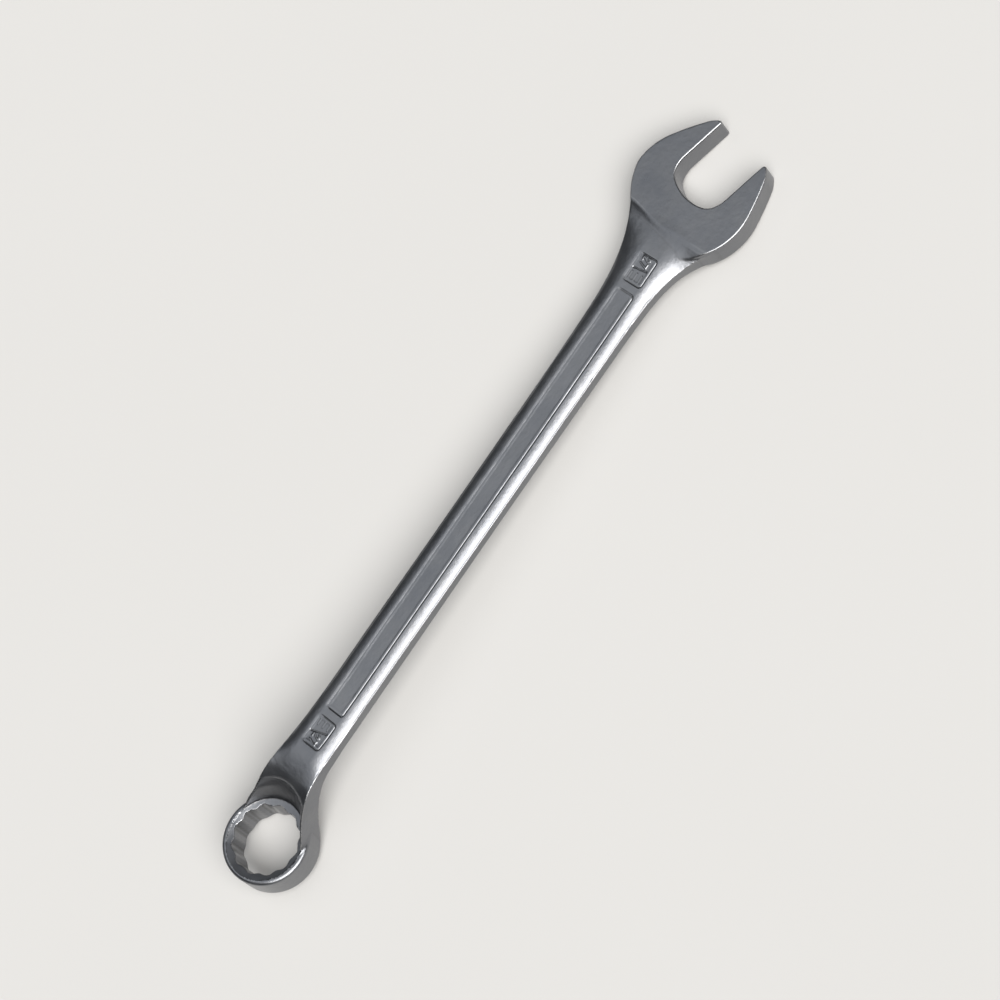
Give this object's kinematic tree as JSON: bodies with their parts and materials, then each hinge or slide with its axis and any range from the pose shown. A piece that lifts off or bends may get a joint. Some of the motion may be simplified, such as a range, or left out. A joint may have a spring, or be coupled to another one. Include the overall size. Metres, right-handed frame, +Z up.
{
  "type": "combination wrench",
  "caption": "Combination wrench with an offset twelve-point ring at one end and an angled open end at the other, in satin chrome.",
  "frame": {"origin": "centre of the bounding box's bottom, with the wrench lying on a bench on its ring and both jaw tips", "axes": "+X along the shank from the ring to the open end, +Z up through the face with the panel, +Y across"},
  "size_m": [0.3729, 0.0568, 0.0337],
  "materials": {
    "satin_chrome": "satin"
  },
  "bodies": {
    "root": {"wrench_body": "satin_chrome"}
  },
  "joints": []
}
